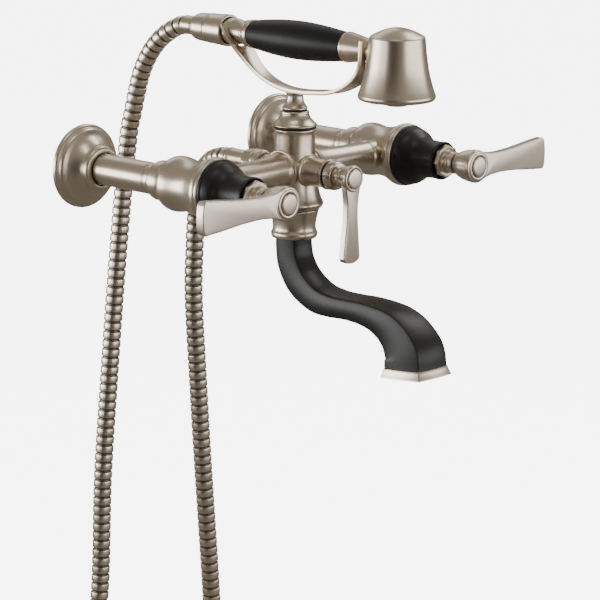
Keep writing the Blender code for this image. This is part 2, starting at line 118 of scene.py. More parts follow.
def aim(obj, location, target, roll=0.0):
    """Puts a camera or light at a location and points it at the target."""
    turn = (target - location).to_track_quat("-Z", "Y").to_matrix().to_4x4()
    obj.matrix_world = Matrix.Translation(location) @ turn @ Matrix.Rotation(math.radians(roll), 4, "Z")


def camera():
    data = bpy.data.cameras.new("camera")
    data.sensor_width = 36
    data.lens = CAMERA_LENS
    data.shift_x = CAMERA_SHIFT_X
    data.shift_y = CAMERA_SHIFT_Y
    data.clip_end = 60
    made = bpy.data.objects.new("camera", data)
    bpy.context.scene.collection.objects.link(made)
    away = bearing(CAMERA_AZIMUTH, CAMERA_ELEVATION)
    aim(made, CAMERA_TARGET + away * CAMERA_DISTANCE, CAMERA_TARGET, CAMERA_ROLL)
    bpy.context.scene.camera = made


def softbox(name, azimuth, elevation, distance, size, power):
    """An area light that faces the faucet from this direction, in degrees and metres."""
    data = bpy.data.lights.new(name, "AREA")
    data.shape = "RECTANGLE"
    data.size, data.size_y = size
    data.energy = power
    made = bpy.data.objects.new(name, data)
    bpy.context.scene.collection.objects.link(made)
    aim(made, LIGHT_TARGET + bearing(azimuth, elevation) * distance, LIGHT_TARGET)


def lights():
    """Large soft lights all round, so that the metal shows broad bright bands."""
    softbox("key_left", -138, 0, 2.2, (1.5, 0.9), 30)
    softbox("key_soft", -104, 2, 2.2, (1.3, 0.9), 9)
    softbox("fill_right", 22, 2, 2.4, (3.6, 1.0), 34)
    softbox("upper_right", 88, 45, 2.4, (1.3, 1.1), 17)
    softbox("overhead", -50, 74, 2.2, (1.1, 0.6), 6)
    softbox("back_rim", 150, 35, 2.6, (1.6, 1.0), 5)


def room():
    """A dim, warm room, lighter above, with one darker patch that upright tubes show as a dark line.

    The camera itself sees plain pale grey instead.
    """
    world = bpy.data.worlds.new("room")
    world.use_nodes = True
    nodes, links = world.node_tree.nodes, world.node_tree.links
    nodes.clear()
    out = nodes.new("ShaderNodeOutputWorld")
    spot = nodes.new("ShaderNodeTexCoord").outputs["Generated"]

    split = nodes.new("ShaderNodeSeparateXYZ")
    height = nodes.new("ShaderNodeMapRange")
    height.inputs["From Min"].default_value = -1
    ramp = nodes.new("ShaderNodeValToRGB")
    while len(ramp.color_ramp.elements) < len(ROOM_STOPS):
        ramp.color_ramp.elements.new(0.5)
    for element, (at, value) in zip(ramp.color_ramp.elements, ROOM_STOPS):
        element.position = at
        element.color = (*[value * tint for tint in ROOM_TINT], 1)
    links.new(spot, split.inputs[0])
    links.new(split.outputs["Z"], height.inputs["Value"])
    links.new(height.outputs["Result"], ramp.inputs["Fac"])

    facing = nodes.new("ShaderNodeVectorMath")
    facing.operation = "DOT_PRODUCT"
    facing.inputs[1].default_value = FLAG_DIRECTION
    flag = nodes.new("ShaderNodeMapRange")
    flag.inputs["From Min"].default_value, flag.inputs["From Max"].default_value = FLAG_EDGE
    flag.inputs["To Min"].default_value = ROOM_STRENGTH
    flag.inputs["To Max"].default_value = FLAG_STRENGTH
    links.new(spot, facing.inputs[0])
    links.new(facing.outputs["Value"], flag.inputs["Value"])

    reflected = nodes.new("ShaderNodeBackground")
    links.new(ramp.outputs["Color"], reflected.inputs["Color"])
    links.new(flag.outputs["Result"], reflected.inputs["Strength"])
    backdrop = nodes.new("ShaderNodeBackground")
    backdrop.inputs["Color"].default_value = (PALE, PALE, PALE, 1)
    backdrop.inputs["Strength"].default_value = 1.0
    seen = nodes.new("ShaderNodeLightPath")
    mix = nodes.new("ShaderNodeMixShader")
    links.new(seen.outputs["Is Camera Ray"], mix.inputs["Fac"])
    links.new(reflected.outputs[0], mix.inputs[1])
    links.new(backdrop.outputs[0], mix.inputs[2])
    links.new(mix.outputs[0], out.inputs["Surface"])
    bpy.context.scene.world = world


def floor():
    """A glowing pale floor under the hose's loop, which the metal doesn't reflect."""
    bpy.ops.mesh.primitive_plane_add(size=40, location=(0, 0, cad_box[0][2] - FLOOR_DROP))
    plane = bpy.context.object
    plane.name = "floor"
    paint = bpy.data.materials.new("floor")
    paint.use_nodes = True
    shader = paint.node_tree.nodes["Principled BSDF"]
    shader.inputs["Base Color"].default_value = (0.9, 0.9, 0.9, 1)
    shader.inputs["Roughness"].default_value = 0.8
    shader.inputs["Emission Color"].default_value = (1, 1, 1, 1)
    shader.inputs["Emission Strength"].default_value = FLOOR_GLOW
    plane.data.materials.append(paint)
    plane.visible_glossy = False
    plane.visible_diffuse = False


# ---------------------------------------------------------------- materials

# Outer edges painted lighter as a highlight: the pointiness range and the share of the lighter colour.
EDGE_START = 0.54
EDGE_FULL = 0.60
EDGE_SHARE = 0.35


class Nodes:
    """Short calls for building one material's nodes."""

    def __init__(self, name):
        self.material = bpy.data.materials.new(name)
        self.material.use_nodes = True
        self.tree = self.material.node_tree
        self.shader = self.tree.nodes["Principled BSDF"]

    def add(self, kind, **inputs):
        node = self.tree.nodes.new("ShaderNode" + kind)
        for key, value in inputs.items():
            self.put(node, key.replace("_", " "), value)
        return node

    def put(self, node, socket, value):
        """Links an output to the node's socket, or sets the socket to a plain value."""
        if isinstance(value, bpy.types.NodeSocket):
            self.tree.links.new(value, node.inputs[socket])
        else:
            node.inputs[socket].default_value = value

    def noise(self, scale, stretch=(1, 1, 1), detail=3.0, roughness=0.55):
        spot = self.add("TexCoord")
        mapping = self.add("Mapping", Vector=spot.outputs["Object"], Scale=stretch)
        vector = mapping.outputs[0]
        return self.add("TexNoise", Vector=vector, Scale=scale, Detail=detail, Roughness=roughness).outputs[0]

    def spread(self, value, low, high, at_low=0.3, at_high=0.7):
        """The value's middle range, mapped to low and high."""
        return self.add(
            "MapRange", Value=value, From_Min=at_low, From_Max=at_high, To_Min=low, To_Max=high
        ).outputs["Result"]

    def blend(self, share, first, second):
        """The first colour turning into the second as share goes from 0 to 1."""
        made = self.tree.nodes.new("ShaderNodeMix")
        made.data_type = "RGBA"
        for index, value in ((0, share), (6, first), (7, second)):
            if isinstance(value, bpy.types.NodeSocket):
                self.tree.links.new(value, made.inputs[index])
            else:
                made.inputs[index].default_value = value
        return made.outputs[2]

    def times(self, first, second):
        made = self.tree.nodes.new("ShaderNodeMath")
        made.operation = "MULTIPLY"
        self.put(made, 0, first)
        self.put(made, 1, second)
        return made.outputs[0]

    def painted_edge_highlight(self):
        """How far an outer edge is painted lighter as a highlight: 0 on open surface."""
        pointy = self.add("NewGeometry").outputs["Pointiness"]
        return self.times(self.spread(pointy, 0, 1, EDGE_START, EDGE_FULL), EDGE_SHARE)


def nickel(name, stretch, light=(0.66, 0.58, 0.475), dark=(0.63, 0.55, 0.445), rough=0.29, grain=0.04):
    """Satin nickel plate with a fine brushed grain that runs across the stretched axis."""
    made = Nodes(name)
    fine = made.noise(1.0, stretch, 2.0, 0.5)
    broad = made.noise(30.0, (1, 1, 1), 2.0)
    color = made.blend(made.spread(broad, 0, 1), (*dark, 1), (*light, 1))
    color = made.blend(made.spread(fine, 0, 0.10), color, (*[0.8 * c for c in dark], 1))
    # Outer edges painted a lighter nickel as a highlight.
    color = made.blend(made.painted_edge_highlight(), color, (0.80, 0.73, 0.63, 1))
    made.put(made.shader, "Base Color", color)
    made.put(made.shader, "Roughness", made.spread(fine, rough - 0.01, rough + 0.015))
    made.put(made.shader, "Metallic", 1.0)
    bump = made.add("Bump", Strength=grain, Distance=0.00001, Height=fine)
    made.put(made.shader, "Normal", bump.outputs[0])
    return made.material


def black(name, base=(0.0125, 0.0128, 0.013), rough=0.38, sheen=0.32):
    """Satin black coating: a very fine texture, a soft sheen and edges painted a little lighter as a
    highlight.
    """
    made = Nodes(name)
    peel = made.noise(2600.0, (1, 1, 1), 2.0)
    broad = made.noise(60.0, (1, 1, 1), 3.0)
    color = made.blend(made.spread(broad, 0, 1), (*base, 1), (*[1.12 * c for c in base], 1))
    # Outer edges painted a little lighter as a highlight.
    color = made.blend(made.painted_edge_highlight(), color, (0.05, 0.05, 0.05, 1))
    made.put(made.shader, "Base Color", color)
    made.put(made.shader, "Roughness", made.spread(broad, rough - 0.01, rough + 0.015))
    made.put(made.shader, "Specular IOR Level", sheen)
    bump = made.add("Bump", Strength=0.08, Distance=0.00002, Height=peel)
    made.put(made.shader, "Normal", bump.outputs[0])
    return made.material


def plain(name, base, rough, metallic, scale):
    """A small or mostly hidden part: mottled colour, uneven roughness and a fine bump."""
    made = Nodes(name)
    mottle = made.noise(scale)
    color = made.blend(made.spread(mottle, 0, 1), (*[0.8 * c for c in base], 1), (*base, 1))
    made.put(made.shader, "Base Color", color)
    made.put(made.shader, "Roughness", made.spread(mottle, rough - 0.06, rough + 0.06))
    made.put(made.shader, "Metallic", metallic)
    bump = made.add("Bump", Strength=0.2, Distance=0.00004, Height=mottle)
    made.put(made.shader, "Normal", bump.outputs[0])
    return made.material


TURNED = nickel("nickel_turned", (25, 25, 3200))
DRAWN = nickel("nickel_drawn", (2600, 2600, 60))
BRUSHED = nickel("nickel_brushed", (1400, 60, 60), (0.71, 0.635, 0.545), (0.67, 0.595, 0.505), 0.33, 0.14)
HOSE_METAL = nickel("nickel_hose", (60, 60, 60), (0.72, 0.645, 0.55), (0.69, 0.615, 0.52), 0.28, 0.0)
BLACK = black("black_satin")
GRIP = black("black_grip", (0.0105, 0.0107, 0.011), 0.45, 0.25)
# Dark metal for the hose's necks: painted shade in the grooves between bands.
HOSE_NECK_SHADE = plain("hose_neck_painted_shade", (0.16, 0.135, 0.105), 0.42, 1.0, 700)
BRASS = plain("brass", (0.70, 0.52, 0.24), 0.33, 1.0, 900)
RUBBER = plain("rubber", (0.016, 0.016, 0.016), 0.62, 0.0, 1400)
PLASTIC = plain("white_plastic", (0.74, 0.74, 0.71), 0.45, 0.0, 1100)


# ---------------------------------------------------------------- shapes

BEVEL_STEPS = 3


def rounded(outline, passes=2):
    """The outline with its corners cut this many times, which leaves a smooth curve with the same ends."""
    for _ in range(passes):
        cut = [outline[0]]
        for (a, r), (b, s) in zip(outline, outline[1:]):
            cut.append((0.75 * a + 0.25 * b, 0.75 * r + 0.25 * s))
            cut.append((0.25 * a + 0.75 * b, 0.25 * r + 0.75 * s))
        outline = [*cut, outline[-1]]
    return outline


def smooth(points, steps):
    """Points on a smooth curve through the given points, with this many steps between each two."""
    points = [Vector(point) for point in points]
    ends = [2 * points[0] - points[1], *points, 2 * points[-1] - points[-2]]
    found = []
    for a, b, c, d in zip(ends, ends[1:], ends[2:], ends[3:]):
        for i in range(steps):
            t = i / steps
            found.append(
                0.5 * (2 * b + (c - a) * t + (2 * a - 5 * b + 4 * c - d) * t**2)
                + 0.5 * (3 * b - a - 3 * c + d) * t**3
            )
    return [*found, points[-1]]


def shade(mesh, angle=32):
    """Smooth shading, with edges sharper than this many degrees kept crisp."""
    mesh.shade_smooth()
    mesh.set_sharp_from_angle(angle=math.radians(angle))


def show(name, mesh, look, body, where, nodes=()):
    """A finished piece at its place, riding on a body, in place of the CAD nodes it stands for."""
    made = bpy.data.objects.new(name, mesh)
    bpy.context.scene.collection.objects.link(made)
    made.matrix_world = where
    made.data.materials.append(look)
    if body:
        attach(made, body)
    if nodes:
        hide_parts(*nodes)
    return made


def skin(rows, loop=False):
    """A mesh over rows of points. A row with one point is a tip. A loop joins the last row to the first."""
    work = bmesh.new()
    made = [[work.verts.new(point) for point in row] for row in rows]
    pairs = list(zip(made, made[1:]))
    if loop:
        pairs.append((made[-1], made[0]))
    for first, second in pairs:
        count = max(len(first), len(second))
        for i in range(count):
            j = (i + 1) % count
            near = [first[i % len(first)], first[j % len(first)]]
            far = [second[j % len(second)], second[i % len(second)]]
            corners = list(dict.fromkeys(near + far))
            if len(corners) > 2:
                work.faces.new(corners)
    if not loop:
        for row in (made[0], made[-1]):
            if len(row) > 2:
                work.faces.new(row)
    bmesh.ops.recalc_face_normals(work, faces=work.faces)
    mesh = bpy.data.meshes.new("skin")
    work.to_mesh(mesh)
    work.free()
    return mesh


def lathe_mesh(outline, bore=None, passes=2):
    """A turned skin. A bore is one radius, or an outline of its own."""
    path = rounded(outline, passes)
    if bore is not None:
        inner = bore if isinstance(bore, list) else [(outline[0][0], bore), (outline[-1][0], bore)]
        path = inner + list(reversed(path))
    turns = [2 * math.pi * i / STEPS for i in range(STEPS)]
    rows = []
    for along, radius in path:
        if radius < AXIS_RADIUS:
            rows.append([Vector((0, 0, along)) * MM])
        else:
            rows.append([Vector((radius * math.cos(t), radius * math.sin(t), along)) * MM for t in turns])
    mesh = skin(rows, loop=bore is not None)
    shade(mesh)
    return mesh


def turned(node, outline, where, body=ROOT, look=TURNED, bore=None, passes=2, replaces=True):
    """A turned piece in place of the CAD node of that name, or beside the nodes if it replaces none."""
    mesh = lathe_mesh(outline, bore, passes)
    return show(f"{node}_skin", mesh, look, body, where, (node,) if replaces else ())


def outline_mesh(points, thickness, bevel):
    """A flat outline made this thick, its edges rounded to this bevel."""
    curve = bpy.data.curves.new("outline", "CURVE")
    curve.dimensions = "2D"
    curve.fill_mode = "BOTH"
    curve.extrude = (thickness / 2 - bevel) * MM
    curve.bevel_depth = bevel * MM
    curve.bevel_resolution = BEVEL_STEPS
    curve.offset = -bevel * MM
    spline = curve.splines.new("POLY")
    spline.points.add(len(points) - 1)
    for point, (x, y) in zip(spline.points, points):
        point.co = (x * MM, y * MM, 0, 1)
    spline.use_cyclic_u = True
    drawn = bpy.data.objects.new("outline", curve)
    bpy.context.scene.collection.objects.link(drawn)
    graph = bpy.context.evaluated_depsgraph_get()
    mesh = bpy.data.meshes.new_from_object(drawn.evaluated_get(graph))
    bpy.data.objects.remove(drawn)
    work = bmesh.new()
    work.from_mesh(mesh)
    bmesh.ops.remove_doubles(work, verts=work.verts, dist=0.001 * MM)
    bmesh.ops.recalc_face_normals(work, faces=work.faces)
    work.to_mesh(mesh)
    work.free()
    mesh.materials.clear()
    return mesh


def cut(piece, *tools):
    """Cuts tool meshes, given with their places, out of the piece's mesh for good."""
    for mesh, where in tools:
        tool = bpy.data.objects.new("tool", mesh)
        bpy.context.scene.collection.objects.link(tool)
        tool.matrix_world = where
        boolean = piece.modifiers.new("cut", "BOOLEAN")
        boolean.operation = "DIFFERENCE"
        boolean.object = tool
        graph = bpy.context.evaluated_depsgraph_get()
        fresh = bpy.data.meshes.new_from_object(piece.evaluated_get(graph))
        piece.modifiers.clear()
        piece.data = fresh
        bpy.data.objects.remove(tool)
    shade(piece.data)


def across(path, i):
    """(along, normal) of a path in the YZ plane at its point i."""
    before, after = path[max(i - 1, 0)], path[min(i + 1, len(path) - 1)]
    along = (after - before).normalized()
    return along, Vector((0, -along.z, along.y))


# ---------------------------------------------------------------- valves

FLANGE = [
    (0.0, 30.6), (0.2, 30.95), (1.2, 31.05), (2.6, 31.0), (3.5, 30.5), (4.2, 29.3), (4.6, 28.6),
    (5.3, 28.5), (6.4, 28.1), (7.2, 27.3), (7.7, 26.3), (9.0, 23.6), (12.0, 20.5), (15.5, 18.0),
    (17.6, 17.1), (18.4, 16.9), (18.9, 17.05), (20.4, 16.9), (21.4, 16.3), (22.1, 15.0), (22.3, 13.4),
    (22.2, 12.45), (21.8, 12.4),
]
FLANGE_INSIDE = [(0, 28.9), (3.4, 27.6), (11.5, 18.6), (20.0, 12.4), (21.8, 12.4)]
UNION = [
    (74.6, 11.6), (78.4, 11.65), (78.8, 12.4), (79.4, 13.2), (80.4, 13.9), (81.4, 14.35), (81.9, 14.4),
]
VALVE = [
    (82.1, 14.45), (82.6, 14.6), (87.0, 14.7), (90.0, 14.5), (91.0, 13.9), (91.9, 13.9), (92.3, 14.7),
    (92.9, 16.1), (93.8, 17.5), (95.2, 18.7), (97.2, 19.5), (99.8, 20.1), (102.8, 20.25), (105.6, 19.9),
    (108.6, 19.3), (111.8, 18.8), (115.2, 18.6), (119.0, 18.85), (124.0, 19.75), (129.0, 21.4),
    (133.2, 23.2), (134.4, 23.65), (136.4, 23.7), (137.3, 23.4), (137.6, 22.8), (138.0, 22.75),
    (138.3, 23.3), (139.4, 23.35), (140.2, 22.9), (140.3, 21.0),
]
BONNET = [
    (140.5, 22.3), (140.7, 22.65), (142.2, 22.65), (142.9, 22.2), (143.1, 21.7), (143.6, 21.75),
    (146.5, 21.3), (149.5, 20.0), (152.0, 17.9), (154.6, 15.9), (158.0, 14.8), (163.0, 14.15),
    (169.0, 14.0), (172.4, 14.35), (174.0, 14.35), (174.6, 13.9), (174.5, 13.3), (174.0, 13.1),
]
NUT_NECK = [(178.0, 9.4), (178.9, 8.7), (179.4, 8.0), (183.0, 8.0), (183.7, 7.7), (183.9, 7.2)]
STEM_COLLAR = [(184.4, 7.7), (184.7, 8.25), (187.2, 8.25), (187.6, 7.7), (187.7, 6.6)]
HUB = [
    (188.3, 6.6), (188.5, 7.3), (190.0, 7.6), (190.7, 8.6), (191.6, 9.4), (193.7, 10.3), (196.5, 11.2),
    (199.5, 11.8), (203.5, 12.25), (206.2, 12.45), (207.3, 12.2), (207.9, 11.5), (208.0, 10.7),
    (208.2, 10.3), (208.7, 10.15), (208.9, 9.7), (208.9, 8.6), (208.6, 8.0), (208.0, 7.8), (205.2, 7.8),
    (205.0, 7.7),
]
BUTTON = [(205.0, 7.5), (209.0, 7.5), (209.7, 7.3), (210.1, 6.8), (210.35, 5.0), (210.5, 2.5), (210.55, 0)]
LEVER_HALVES = [
    (4.0, 10.6), (6.4, 10.4), (11.4, 9.1), (17, 8.2), (26, 7.65), (36, 8.0), (45.7, 8.65), (55, 9.7),
    (65, 10.8), (78.2, 11.9),
]
LEVER_TIP = 80.8
LEVER_FRONT = 208.0
LEVER_LEAN = 1.35
BOW_STEPS = 6


def paddle_outline(halves, tip):
    """A paddle from the hub's axis out to its bowed end, drawn along +X."""
    edge = [(point.x, point.y) for point in smooth([(x, y, 0) for x, y in halves], 4)]
    last_x, last_y = edge[-1]
    bow = []
    for i in range(1, 2 * BOW_STEPS):
        share = 1 - i / BOW_STEPS
        bow.append((last_x + (tip - last_x) * math.sqrt(1 - share**2), last_y * share))
    return edge + bow + [(x, -y) for x, y in reversed(edge)]


def paddle(name, outline, thickness, bevel, front, angle, axis, body):
    """A lever's blade. Its front face starts this far out on the axis and leans by this many degrees."""
    lean = Matrix.Rotation(math.radians(angle), 4, "Y")
    mesh = outline_mesh(outline, thickness, bevel)
    shade(mesh, 25)
    return show(name, mesh, BRUSHED, body, axis @ place(z=front - thickness / 2) @ lean)


def octagon_nut(node, start, stop, radius, axis):
    """An eight-sided nut with its corners turned off at both ends."""
    rows = []
    ends = (
        (start, 0.90), (start + 0.5, 0.99), (start + 0.8, 1),
        (stop - 0.8, 1), (stop - 0.4, 0.985), (stop, 0.90),
    )
    for along, grow in ends:
        rows.append([
            Vector((radius * grow * math.cos(t), radius * grow * math.sin(t), along)) * MM
            for t in (math.pi * i / 4 for i in range(8))
        ])
    mesh = skin(rows)
    shade(mesh, 20)
    nut = show(f"{node}_skin", mesh, DRAWN, ROOT, axis, (node,))
    soft = nut.modifiers.new("soft", "BEVEL")
    soft.width = 0.35 * MM
    soft.segments = 3
    soft.limit_method = "ANGLE"
    soft.angle_limit = math.radians(20)


def valve(side, sign):
    """One valve from the wall flange to the lever, and the bridge that joins it to the column."""
    handle = f"{side}_handle"
    axis = place(x=sign * INLET_X, turn=FACE_OUT)
    inward = place(sign * INLET_X, -COLUMN_OUT, 0, FACE_LEFT if sign > 0 else FACE_RIGHT)
    outward = place(0, -COLUMN_OUT, 0, FACE_RIGHT if sign > 0 else FACE_LEFT)

    turned(f"{side}_wall_flange", FLANGE, axis, bore=FLANGE_INSIDE)
    tube = [(1.5, 11.4), (1.9, 11.6), (73.9, 11.6), (74.3, 11.4)]
    turned(f"{side}_inlet_tube", tube, axis, bore=8.0)
    turned(f"{side}_union_nut", UNION, axis, bore=8.0)
    turned(f"{side}_valve_body", VALVE, axis)
    boss = [(10, 10.9), (21.3, 10.9), (21.7, 10.6), (21.8, 8)]
    turned(f"{side}_valve_boss", boss, inward, replaces=False)
    turned(f"{side}_bonnet", BONNET, axis, look=BLACK, bore=13.1)
    octagon_nut(f"{side}_bonnet_nut", 171.9, 178.7, 12.6, axis)
    turned(f"{side}_nut_neck", NUT_NECK, axis, replaces=False)
    turned(f"{side}_stem_collar", STEM_COLLAR, axis, handle, replaces=False)
    turned(f"{side}_lever", HUB, axis, handle)
    outline = paddle_outline(LEVER_HALVES, LEVER_TIP)
    if sign < 0:
        outline = [(-x, y) for x, y in reversed(outline)]
    paddle(f"{side}_lever_blade", outline, 7.5, 0.9, LEVER_FRONT, sign * LEVER_LEAN, axis, handle)
    turned(f"{side}_lever_button", BUTTON, axis, handle, BRUSHED)
    # A thin near-black ring in the gap behind the flange's neck: painted shade, not a real part.
    painted_shade_ring = [(20.6, 11.7), (20.6, 12.6), (21.2, 12.6), (21.2, 11.7)]
    turned(f"{side}_flange_painted_shade_ring", painted_shade_ring, axis, look=RUBBER, bore=11.65, passes=0, replaces=False)

    bridge = [
        (19.3, 13.1), (19.4, 13.2), (20.5, 13.0), (24.0, 12.5), (30.0, 11.9), (38.0, 11.3),
        (50.0, 10.8), (75.4, 10.5), (76.3, 10.7), (76.9, 11.2), (78.2, 11.4), (79.1, 11.2),
        (79.4, 10.8),
    ]
    turned(f"{side}_bridge", bridge, outward, bore=7.4)
    column_boss = [
        (3.0, 14.2), (13.2, 14.3), (13.6, 15.1), (14.2, 15.6), (15.0, 15.6), (15.5, 15.1), (15.7, 14.0),
        (16.6, 13.8), (19.1, 13.15), (19.25, 12.9),
    ]
    turned(f"{side}_column_boss", column_boss, outward, replaces=False)


# ---------------------------------------------------------------- column, diverter and cradle


def column():
    """The column, the diverter in front, the cradle's base and stem, and the spout's collar."""
    axis = place(y=-COLUMN_OUT)
    body = [
        (-29.2, 18.0), (-28.9, 18.9), (-28.0, 19.9), (-27.0, 20.7), (-25.8, 21.35), (-24.6, 21.35),
        (-23.4, 20.8), (-21.5, 19.8), (-14.0, 17.7), (-4.0, 16.3), (10.0, 15.4), (22.0, 15.05),
        (27.4, 15.05), (28.2, 15.5), (29.2, 16.0), (30.0, 15.9), (30.3, 15.4),
    ]
    turned("column_body", body, axis)
    out = place(y=-COLUMN_OUT, turn=FACE_OUT)
    branch = [
        (4.0, 11.4), (13.8, 11.5), (14.2, 12.1), (14.9, 12.5), (15.8, 12.4), (16.2, 11.8), (16.5, 11.0),
        (18.2, 10.5), (26.0, 10.3), (32.2, 10.25), (33.0, 10.6), (33.8, 11.15), (35.0, 11.15),
        (35.4, 10.7), (35.4, 8.0),
    ]
    turned("diverter_branch", branch, out, replaces=False)
    ring = [(35.7, 10.0), (35.8, 10.5), (36.7, 10.5), (36.8, 10.0)]
    turned("diverter_ring", ring, out, look=RUBBER, bore=8.0)
    nut = [
        (37.1, 10.2), (37.3, 10.7), (38.4, 10.95), (41.0, 10.75), (42.8, 10.3), (43.7, 9.6),
        (43.9, 8.6), (44.0, 6.6), (46.4, 6.6), (46.6, 6.0),
    ]
    turned("diverter_nut", nut, out, bore=3.8)
    hub = [
        (46.9, 6.4), (47.1, 7.9), (47.9, 8.35), (49.6, 8.35), (50.3, 7.9), (51.2, 8.1), (53.4, 8.9),
        (56.0, 9.5), (58.0, 9.8), (59.0, 9.6), (59.6, 9.0), (59.7, 8.2), (59.4, 7.8), (57.6, 7.7),
        (57.5, 7.6),
    ]
    turned("diverter_lever", hub, out, "diverter_handle")
    button = [(57.6, 7.3), (59.9, 7.3), (60.5, 7.0), (60.8, 6.3), (61.0, 4.0), (61.1, 0)]
    turned("diverter_button", button, out, "diverter_handle", BRUSHED)
    halves = [(3, 8.0), (8, 7.4), (15.6, 6.0), (21, 5.6), (30, 5.85), (41, 6.9), (52, 8.1), (58.4, 8.75)]
    down = out @ Matrix.Rotation(math.radians(-90), 4, "Z")
    paddle("diverter_blade", paddle_outline(halves, 62.6), 5.4, 0.9, 58.8, 1.0, down, "diverter_handle")

    o_ring = [(30.6, 15.2), (30.7, 15.7), (31.7, 15.7), (31.8, 15.2)]
    turned("column_o_ring", o_ring, axis, look=RUBBER, bore=8.0)
    base = [
        (32.1, 15.8), (32.3, 16.4), (33.0, 16.4), (34.0, 15.6), (35.2, 14.2), (37.0, 12.4),
        (39.0, 11.2), (40.2, 10.7), (41.0, 10.5), (41.6, 10.65), (42.8, 10.5), (43.3, 10.0),
        (43.4, 9.0),
    ]
    turned("cradle_base", base, axis, bore=3.2)
    stem = [
        (44.6, 8.9), (44.8, 9.45), (45.6, 9.3), (46.4, 8.7), (48.0, 7.6), (50.2, 6.7), (52.6, 6.15),
        (54.4, 6.05), (55.6, 6.5), (56.6, 7.6), (57.0, 8.0),
    ]
    turned("cradle_stem", stem, axis)
    collar = [
        (-51.0, 14.6), (-50.9, 15.8), (-50.2, 16.6), (-49.0, 17.1), (-47.6, 17.25), (-46.4, 17.0),
        (-45.6, 16.4), (-44.0, 15.9), (-41.5, 15.9), (-38.0, 16.3), (-34.0, 17.2), (-31.2, 17.9),
        (-30.0, 18.3), (-29.6, 18.0),
    ]
    turned("spout_collar", collar, axis, bore=8.8)


# (distance out from the wall, radius) of the seats for the hand shower, rear and front.
CRADLE_SLOTS = ((58.0, 10.3), (190.0, 9.2))


def cradle():
    """The forked strap, with a raised bead along both edges of its underside."""
    route = [
        (-55.6, 102.0, 15.0), (-59.4, 94.0, 13.4), (-63.6, 86.5, 10.8), (-69.8, 79.0, 8.2),
        (-77.8, 71.6, 6.6), (-87.6, 65.2, 5.8), (-99.2, 60.6, 5.4), (-112.5, 58.2, 5.4),
        (-127.0, 58.0, 5.6), (-141.0, 59.2, 6.0), (-155.0, 60.9, 6.8), (-167.4, 65.0, 7.8),
        (-178.6, 71.6, 8.8), (-186.0, 79.0, 9.8), (-189.6, 86.5, 10.9), (-190.8, 94.5, 11.4),
        (-191.2, 102.6, 11.4),
    ]
    stations = smooth(route, 5)
    middle = [Vector((0, y, z)) for y, z, _ in stations]
    half_section = (
        (1.0, 0.9), (1.0, -0.9), (0.98, -1.45), (0.93, -1.65), (0.86, -1.65), (0.80, -1.3),
        (0.76, -1.15), (0.4, -1.3), (0.0, -1.35),
    )
    section = [*half_section, *[(-x, n) for x, n in reversed(half_section[:-1])]]
    section += [(-0.97, 1.4), (-0.88, 1.55), (0.0, 1.6), (0.88, 1.55), (0.97, 1.4)]
    rows = []
    for i, (_, _, half_width) in enumerate(stations):
        _, normal = across(middle, i)
        rows.append([(middle[i] - normal * n + Vector((x * half_width, 0, 0))) * MM for x, n in section])
    mesh = skin(rows)
    shade(mesh, 40)
    strap = show("cradle_skin", mesh, DRAWN, None, FACE_UP)
    tools = []
    for out, radius in CRADLE_SLOTS:
        arc = [math.pi + math.pi * i / 24 for i in range(25)]
        slot = [(radius * math.cos(t), radius * math.sin(t)) for t in arc] + [(radius, 30), (-radius, 30)]
        tools.append((outline_mesh(slot, 34, 0.0), place(0, -out, HANDSET_Z, FACE_OUT)))
    cut(strap, *tools)
    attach(strap, ROOT)
    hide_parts("cradle")


# ---------------------------------------------------------------- spout

# The sides of a square: the corner each starts at and the direction it runs in.
SQUARE = ((-1, -1, 1, 0), (1, -1, 0, 1), (1, 1, -1, 0), (-1, 1, 0, -1))
SIDE_STEPS = 6


